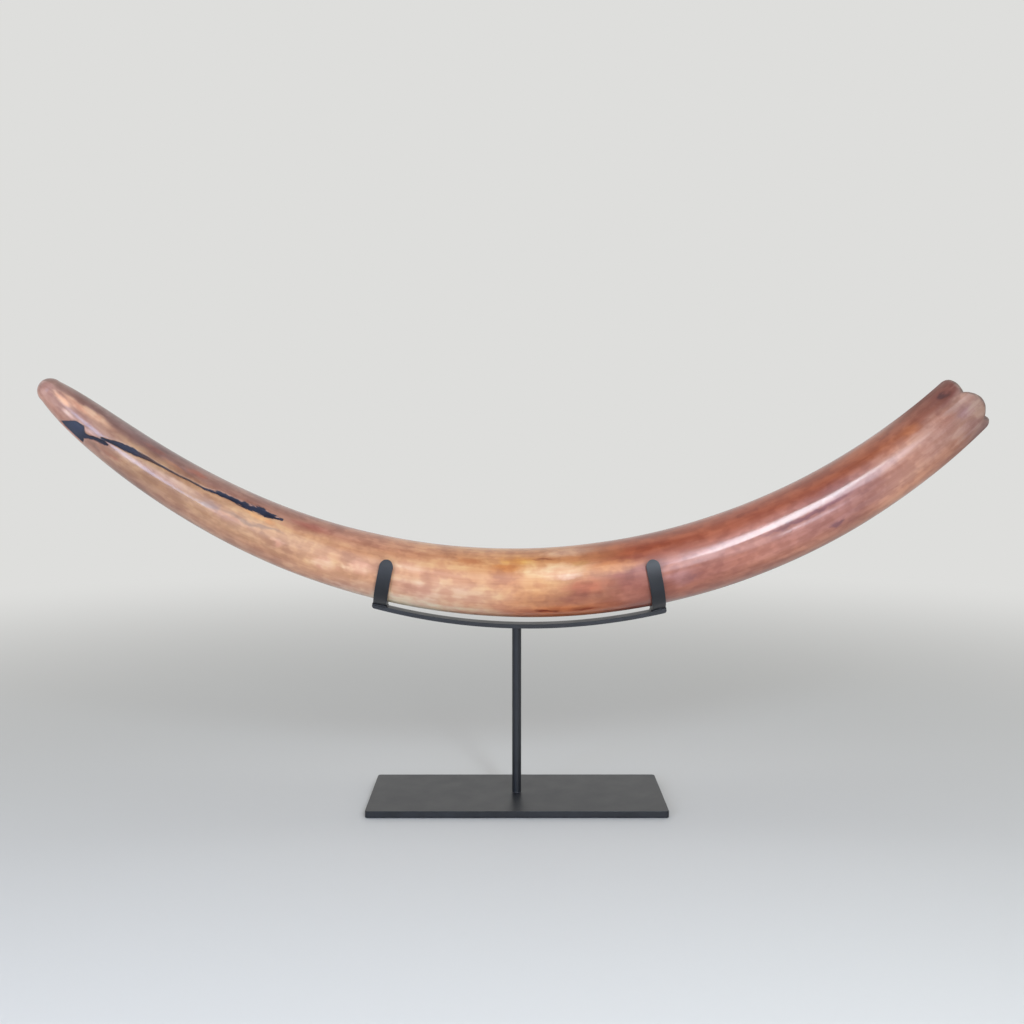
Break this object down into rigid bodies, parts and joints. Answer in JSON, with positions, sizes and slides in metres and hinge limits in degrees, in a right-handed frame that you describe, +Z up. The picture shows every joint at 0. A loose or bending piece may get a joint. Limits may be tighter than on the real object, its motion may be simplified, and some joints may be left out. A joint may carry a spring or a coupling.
{
  "type": "mammoth tusk on stand",
  "caption": "Long curved mammoth tusk with a worn tip and a broken hollow root end, lying in a black steel cradle stand on a flat base.",
  "frame": {"origin": "centre of the base plate's underside, on the surface the object stands on", "axes": "+Z up; +X along the base plate's width, towards the tusk's broken root end; -Y towards the viewer in front"},
  "size_m": [1.1182, 0.15, 0.5047],
  "materials": {
    "tusk": "polished old ivory",
    "stand_steel": "satin black"
  },
  "bodies": {
    "root": {"tusk": "tusk", "base_plate": "stand_steel", "post": "stand_steel", "cradle_bar": "stand_steel", "strap_left": "stand_steel", "strap_right": "stand_steel"}
  },
  "joints": []
}
